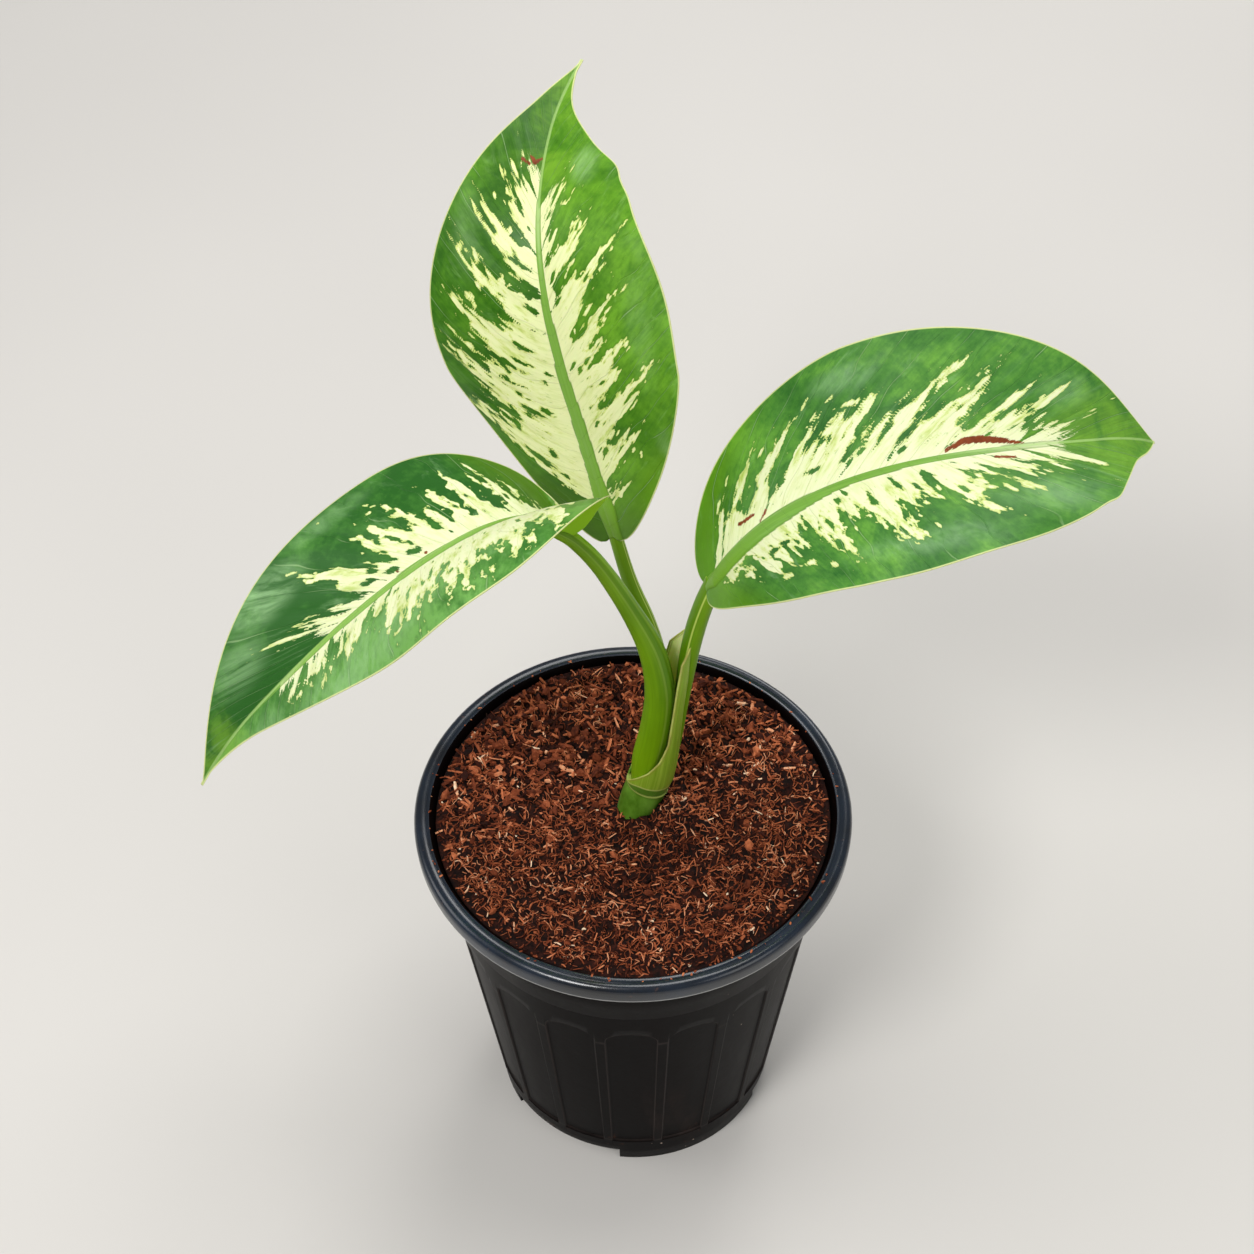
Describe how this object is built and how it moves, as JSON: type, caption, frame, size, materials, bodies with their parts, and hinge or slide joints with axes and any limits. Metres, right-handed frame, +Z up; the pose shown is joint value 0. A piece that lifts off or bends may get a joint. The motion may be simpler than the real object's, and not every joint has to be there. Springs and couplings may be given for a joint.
{
  "type": "potted dieffenbachia",
  "caption": "Young dieffenbachia with broad pointed leaves, cream-marbled along the midrib, on clasping stalks, growing in coir soil in a black nursery pot.",
  "frame": {"origin": "middle of the pot's base, on the surface it stands on", "axes": "+Z up along the pot's axis, -Y towards the front of the plant, +X to the viewer's right"},
  "size_m": [0.2554, 0.1692, 0.3182],
  "materials": {
    "pot_plastic": "black moulded polypropylene, satin wall and glossier rim, faint dust",
    "coir_soil": "damp coir peat, coarse crumbs and fibres, fully matt",
    "cane_skin": "smooth waxy bluish-green stem skin with a pale node ring",
    "leaf_left": "waxy leaf, dark green with feathered cream marbling, pale green stalk",
    "leaf_top": "waxy leaf, fresh green with feathered cream marbling, pale green stalk",
    "leaf_right": "waxy leaf, bluish green with feathered cream marbling, pale green stalk and sheath"
  },
  "bodies": {
    "root": {"pot": "pot_plastic", "soil": "coir_soil", "cane": "cane_skin", "leaf_left": "leaf_left", "leaf_top": "leaf_top", "leaf_right": "leaf_right"}
  },
  "joints": []
}
